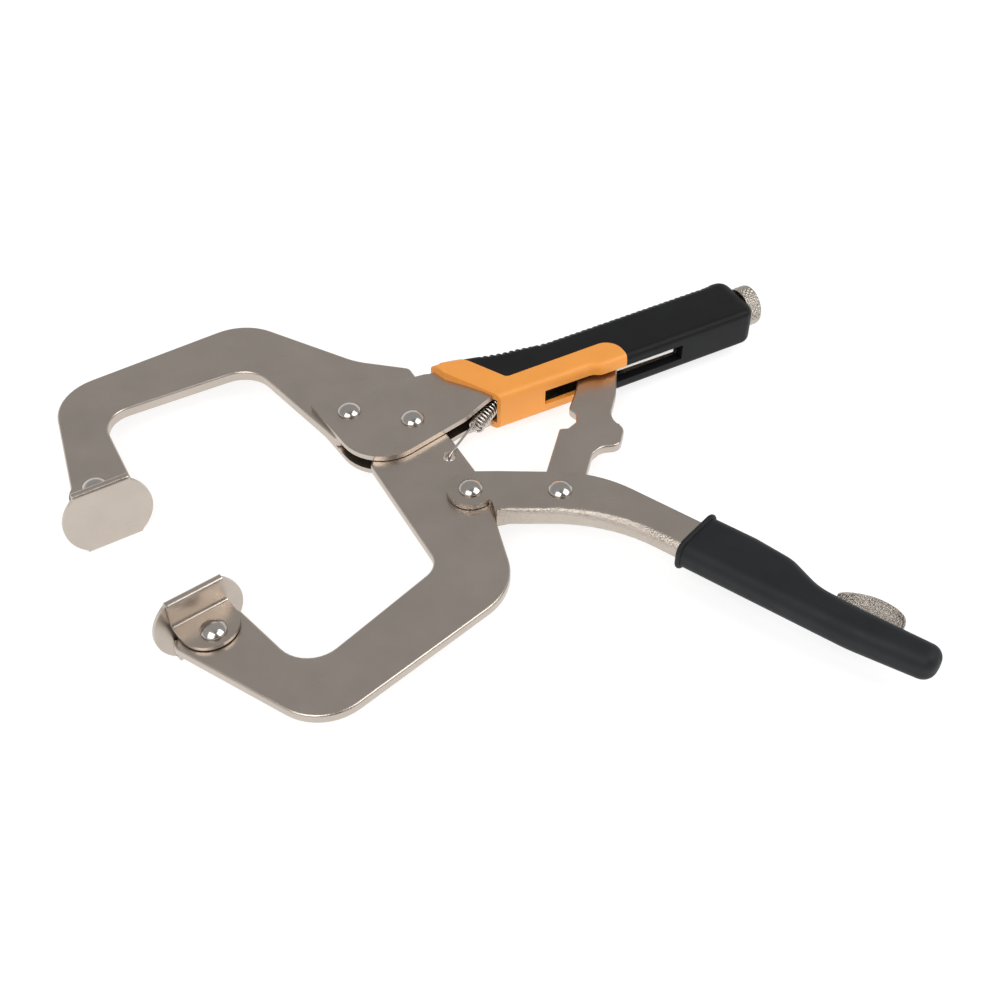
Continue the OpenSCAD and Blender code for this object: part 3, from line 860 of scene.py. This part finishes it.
def lip():
    """Rolled lip round the mouth of the sleeve."""
    bm = bmesh.new()
    r, grow, thick, round_count = 3.6, -0.15, 0.9, 12
    path = []
    for cn, cz, a0 in ((1, 1, 0), (-1, 1, 90), (-1, -1, 180), (1, -1, 270)):
        on = (n_high + grow - r) if cn > 0 else (n_low - grow + r)
        oz = cz * (sleeve_half + grow - r)
        for k in range(9):
            a = math.radians(a0 + 11.25 * k)
            path.append((on + r * math.cos(a), oz + r * math.sin(a)))
    made = []
    m = len(path)
    for i, (n, z) in enumerate(path):
        a, b = path[i - 1], path[(i + 1) % m]
        t = Vector((b[0] - a[0], b[1] - a[1])).normalized()
        o = Vector((t.y, -t.x))
        ring = []
        for k in range(round_count):
            w = 2 * math.pi * k / round_count
            lean = s_low + (s_high - s_low) * (n - n_low) / (n_high - n_low)
            ring.append(bm.verts.new(tail(lean + 0.3 + 0.95 * math.cos(w),
                                          n + o.x * thick * math.sin(w),
                                          z + o.y * thick * math.sin(w))))
        made.append(ring)
    bridge(bm, made + made[:1], False)
    bmesh.ops.recalc_face_normals(bm, faces=bm.faces)
    return link("sleeve_lip", bm, SLEEVE)


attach(lip(), "lever")

# ---------------------------------------------------------------- pads

def pad(name, node, centre, turn, body):
    """Sheet pad: round face, hems at both sides, tabs folded in to ears on the rivet."""
    sheet, top = PAD_SHEET, (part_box(node)[1].z - MID_Z) / MM
    lead, disc, wide, bend, crest = 11.5, 15.5, 9.7, 1.7, 0.55
    ear_y, ear_z = 3.3, 2.45 + sheet / 2
    face_y = lead - sheet / 2
    fold_y = lead - 1.5 * sheet - 0.25
    cut = top - sheet
    half_path = []
    for k in range(13):
        a = math.radians(90 * (1 - k / 12))
        half_path.append((ear_y - wide * math.sin(a) * 0.985, ear_z, wide * math.cos(a) + 0.02))
    for k in range(1, 5):
        half_path.append((ear_y + (fold_y - bend - ear_y) * k / 4, ear_z, wide))
    for k in range(1, 8):
        a = math.radians(90 * k / 7)
        half_path.append((fold_y - bend + bend * math.sin(a), ear_z + bend - bend * math.cos(a),
                          wide))
    hem_z = top - sheet / 2 - crest
    for k in range(1, 6):
        half_path.append((fold_y, ear_z + bend + (hem_z - ear_z - bend) * k / 5, wide))
    for k in range(1, 5):
        a = math.radians(90 * k / 4)
        half_path.append((fold_y + crest * (1 - math.cos(a)), hem_z + crest * math.sin(a), wide))
    for k in range(0, 5):
        a = math.radians(90 * k / 4)
        half_path.append((face_y - crest * (1 - math.sin(a)), hem_z + crest * math.cos(a), wide))
    rows = 22
    for k in range(1, rows + 1):
        z = hem_z * (1 - k / rows)
        half_path.append((face_y, z, math.sqrt(disc * disc - z * z) if z < cut else wide))
    path = half_path + [(y, -z, w) for y, z, w in reversed(half_path[:-1])]
    bm = bmesh.new()
    across = 20
    made = []
    c, s = math.cos(turn), math.sin(turn)
    for y, z, w in path:
        row = []
        for k in range(across + 1):
            x = w * (2 * k / across - 1)
            row.append(bm.verts.new(centre + Vector((c * x - s * y, s * x + c * y, z)) * MM))
        made.append(row)
    for a, b in zip(made, made[1:]):
        for k in range(across):
            bm.faces.new((a[k], a[k + 1], b[k + 1], b[k]))
    ob = link(name, bm, PLATE)
    thicken(ob, PAD_SHEET, 0)
    bevel(ob, 0.4 * MM, 3, 50)
    weighted(ob)
    fit(ob, body, node)


MOUNT = {m["name"]: Vector(m["axis"]) for m in frame["record"]["mounts"]}
for label, node, centre, mount, body in (
        ("pad_sheet_fixed", "fixed_pad", FIXED_PAD, "fixed_clamp_face", "pad_fixed"),
        ("pad_sheet_moving", "moving_pad", MOVING_PAD, "moving_clamp_face", "pad_moving")):
    out = MOUNT[mount]
    pad(label, node, centre, math.atan2(-out.x, out.y), body)

# ---------------------------------------------------------------- release lever

def release():
    """Pressed lever: a flat blade with a dished, leaf-shaped thumb paddle on it."""
    loops = face_loops("release_lever", MID_Z)
    half = jaw_half * MM
    wide = (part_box("release_lever")[1].z - MID_Z) / MM
    blade = max((l for l in loops if abs(l[0].z - MID_Z - half) < 0.05 * MM),
                key=lambda l: abs(area(l)))
    leaf = [along_tail(p) for p in
            max((l for l in loops if abs(l[0].z - MID_Z - wide * MM) < 0.05 * MM),
                key=lambda l: abs(area(l)))]
    for p in blade:
        s, n = along_tail(p)
        if s > PADDLE_FROM and n > -2.5:
            p.xy = tail(s, -2.5).xy
    bm = bmesh.new()
    made = rings(bm, finer(blade, 1.0 * MM), lambda p: MID_Z + half, lambda p: MID_Z - half,
                 lambda p: 0.8 * MM, 6)
    skin(bm, made)
    cap(bm, [made[0]], True)
    cap(bm, [made[-1]], False)
    paddle(bm, leaf, wide)
    bmesh.ops.recalc_face_normals(bm, faces=bm.faces)
    ob = link("release_paddle", bm, GRIT)
    weighted(ob)
    fit(ob, "release", "release_lever")


def paddle(bm, leaf, wide):
    """Dished leaf: its rim follows the outer curve, its middle sinks towards the root."""
    root, count = -2.6, 44
    first, last = min(s for s, n in leaf) + 0.02, max(s for s, n in leaf) - 0.02
    tall = max(n for s, n in leaf) + 0.3
    made = []
    for i in range(count + 1):
        t = 0.5 - 0.5 * math.cos(math.pi * i / count)
        s = first + (last - first) * t
        u = t / 0.6 if t < 0.6 else (t - 0.6) / 0.4
        crest = 0.2 + (tall - 0.2) * (math.sin(math.pi / 2 * u) if t < 0.6 else
                                      math.sqrt(max(0.0, 1 - 0.98 * u * u)))
        ends = min(1.0, (s - first) / 5.0, (last - s) / 2.2)
        high = 2.0 + (wide - 2.0) * math.sqrt(max(0.0, 1 - (1 - ends) ** 2))
        side = [(root, 0.5)]
        for k in range(1, 11):
            u = k / 10
            side.append((root + (crest - 0.6 - root) * u, 0.5 + (high - 0.6) * u ** 2.2))
        for k in range(7):
            a = math.radians(90 * k / 6)
            side.append((crest - 0.4 + 0.4 * math.sin(a), high - 0.4 + 0.4 * math.cos(a)))
        section = side + [(n, -z) for n, z in reversed(side)]
        made.append([bm.verts.new(tail(s, n, z)) for n, z in section])
    bridge(bm, made)


release()

# ---------------------------------------------------------------- screw and knob

def knob():
    """Knob with crossed knurling and a dished end."""
    low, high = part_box("screw_knob")
    c = (low + high) / 2
    r = (high.z - low.z) / 2 / MM
    length = (high.x - low.x) / MM
    bm = bmesh.new()
    around, rows = 240, 40
    made = []
    for i in range(rows + 1):
        x = -length / 2 + length * i / rows
        edge = min(1.0, (length / 2 - abs(x)) / 0.8)
        ring = []
        for k in range(around):
            a = 2 * math.pi * k / around
            u, v = a * KNURLS_ROUND / (2 * math.pi), x / KNURL_STEP
            p, q = abs(((u + v) % 1) - 0.5) * 2, abs(((u - v) % 1) - 0.5) * 2
            deep = KNURL_DEPTH * (1 - min(1.0, 1.5 * min(p, q))) * edge
            rr = r - 0.75 * (1 - math.sqrt(max(0.0, 1 - (1 - edge) ** 2))) - deep * edge - 0.02
            ring.append(bm.verts.new(c + Vector((x, rr * math.cos(a), rr * math.sin(a))) * MM))
        made.append(ring)
    for dip, rr in ((0.0, r - 2.2), (0.35, r - 2.7), (0.35, 0.3)):
        ring = [bm.verts.new(c + Vector((length / 2 - dip, rr * math.cos(2 * math.pi * k / around),
                                         rr * math.sin(2 * math.pi * k / around))) * MM)
                for k in range(around)]
        made.append(ring)
    bridge(bm, made)
    bmesh.ops.recalc_face_normals(bm, faces=bm.faces)
    ob = link("knob_knurled", bm, KNOB)
    weighted(ob)
    fit(ob, "knob", "screw_knob")


def screw():
    """Screw whose thread runs the whole length, tapered at both ends."""
    low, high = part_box("adjusting_screw")
    axis = Vector((0, (low.y + high.y) / 2, (low.z + high.z) / 2))
    r = (high.z - low.z) / 2 / MM
    pitch, around, rows_per_turn = THREAD_PITCH, 40, 8
    a, b = low.x / MM, high.x / MM
    bm = bmesh.new()
    made = []
    n = int((b - a) / pitch * rows_per_turn)
    for i in range(n + 1):
        x = a + (b - a) * i / n
        near = min(1.0, (x - a) / 1.2, (b - x) / 1.2)
        ring = []
        for k in range(around):
            t = 2 * math.pi * k / around
            ph = ((x / pitch) - k / around) % 1
            tri = abs(ph - 0.5) * 2
            rr = r - THREAD_DEPTH * (1 - min(1.0, tri * 1.25)) - 0.5 * (1 - near)
            ring.append(bm.verts.new((x * MM, axis.y + rr * math.cos(t) * MM,
                                      axis.z + rr * math.sin(t) * MM)))
        made.append(ring)
    bridge(bm, made)
    bmesh.ops.recalc_face_normals(bm, faces=bm.faces)
    fit(link("screw_threaded", bm, KNOB), "screw", "adjusting_screw")


knob()
screw()

# ---------------------------------------------------------------- spring

def spring():
    """Extension spring: hook in the moving jaw, straight wire, open coils, rear hook."""
    hook = tool(3.7, -21.5)
    low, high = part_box("spring_anchor")
    anchor = Vector(((low.x + high.x) / 2, (low.y + high.y) / 2, MID_Z))
    d = anchor - hook
    length = d.length
    d.normalize()
    up = Vector((0, 0, 1))
    side = up.cross(d)
    r = (COIL_DIAMETER - COIL_WIRE) / 2 * MM
    w = COIL_WIRE / 2 * MM
    start, end, turns = 19.3 * MM, 39.5 * MM, COIL_TURNS
    hr, rear = 2.4 * MM, 2.1 * MM
    path = []
    for k in range(13):
        a = math.radians(250 - 155 * k / 12)
        path.append(hook + d * (hr * 0.95 + hr * math.cos(a)) + up * hr * math.sin(a))
    first = path[-1]
    for k in range(1, 9):
        path.append(first.lerp(hook + d * start + up * r, k / 9))
    for k in range(turns * 20 + 1):
        a = 2 * math.pi * k / 20
        path.append(hook + d * (start + (end - start) * k / (turns * 20)) +
                    up * r * math.cos(a) + side * r * math.sin(a))
    for k in range(1, 7):
        path.append((hook + d * end + up * r).lerp(hook + d * (length - rear), k / 6))
    for k in range(1, 17):
        a = math.radians(180 - 330 * k / 16)
        path.append(anchor + d * rear * math.cos(a) + side * rear * math.sin(a))
    bm = bmesh.new()
    tube(bm, path, w, 10)
    bmesh.ops.recalc_face_normals(bm, faces=bm.faces)
    ob = link("spring_wire", bm, WIRE)
    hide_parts("jaw_spring")
    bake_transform(ob)


spring()

# ---------------------------------------------------------------- stage

CAMERA_PLACE, CAMERA_AIM = tool(-143.4, -330.5, 328.8), tool(10.05, -47.1)
CAMERA_LENS, CAMERA_SENSOR = 48.6, 36
LAMP_SIDE = 1.3
FLOOR_HALF, FLOOR_DROP = 9, 0.0004


def aim(ob, place, at):
    ob.location = place
    ob.rotation_euler = (at - place).to_track_quat("-Z", "Y").to_euler()


cam = bpy.data.objects.new("camera", bpy.data.cameras.new("camera"))
bpy.context.scene.collection.objects.link(cam)
cam.data.sensor_width = CAMERA_SENSOR
cam.data.lens = CAMERA_LENS
aim(cam, CAMERA_PLACE, CAMERA_AIM)
bpy.context.scene.camera = cam

floor_mesh = bpy.data.meshes.new("floor")
floor_mesh.from_pydata([(x * FLOOR_HALF, y * FLOOR_HALF, 0) for x, y in
                        ((-1, -1), (1, -1), (1, 1), (-1, 1))], [], [(0, 1, 2, 3)])
floor = bpy.data.objects.new("floor", floor_mesh)
floor.location.z = -FLOOR_DROP
bpy.context.scene.collection.objects.link(floor)
floor_mat = bpy.data.materials.new("pale_floor")
fs = nodes_of(floor_mat)[1]
fs.inputs["Base Color"].default_value = (0.35, 0.35, 0.35, 1)
fs.inputs["Roughness"].default_value = 0.9
fs.inputs["Specular IOR Level"].default_value = 0.1
fs.inputs["Emission Color"].default_value = (1, 1, 1, 1)
fs.inputs["Emission Strength"].default_value = 0.78
floor_mesh.materials.append(floor_mat)


def lamp(name, place, power):
    """Square soft light aimed at the tool."""
    data = bpy.data.lights.new(name, "AREA")
    data.shape = "RECTANGLE"
    data.size, data.size_y = LAMP_SIDE, LAMP_SIDE
    data.energy = power
    ob = bpy.data.objects.new(name, data)
    bpy.context.scene.collection.objects.link(ob)
    aim(ob, Vector(place), Vector((0, 0, 0)))


lamp("front_left", (-1.05, -0.8, 1.45), 19)
lamp("front_right", (1.0, -0.9, 1.45), 17)

world = bpy.data.worlds.new("studio")
bpy.context.scene.world = world
world.use_nodes = True
wt = world.node_tree
background = wt.nodes["Background"]
wc = wt.nodes.new("ShaderNodeTexCoord")
split = wt.nodes.new("ShaderNodeSeparateXYZ")
wt.links.new(wc.outputs["Generated"], split.inputs[0])
# bright near the horizon and behind the tool, darker overhead and in front
sky = ramp(wt, split.outputs["Z"], [(0.0, grey(1.0)), (0.12, grey(1.0)), (0.42, grey(0.44)),
                                    (1.0, grey(0.44))])
half_turn = wt.nodes.new("ShaderNodeMath")
half_turn.operation = "MULTIPLY_ADD"
half_turn.inputs[1].default_value = 0.5
half_turn.inputs[2].default_value = 0.5
wt.links.new(split.outputs["Y"], half_turn.inputs[0])
side = ramp(wt, half_turn.outputs[0], [(0.0, grey(0.3)), (0.3, grey(0.35)), (0.52, grey(1.0)),
                                       (1.0, grey(1.0))])
room = wt.nodes.new("ShaderNodeMix")
room.data_type = "RGBA"
room.blend_type = "MULTIPLY"
room.inputs["Factor"].default_value = 1.0
wt.links.new(sky, room.inputs["A"])
wt.links.new(side, room.inputs["B"])
wt.links.new(room.outputs["Result"], background.inputs["Color"])
background.inputs["Strength"].default_value = 1.0

bpy.context.scene.view_settings.view_transform = "Standard"
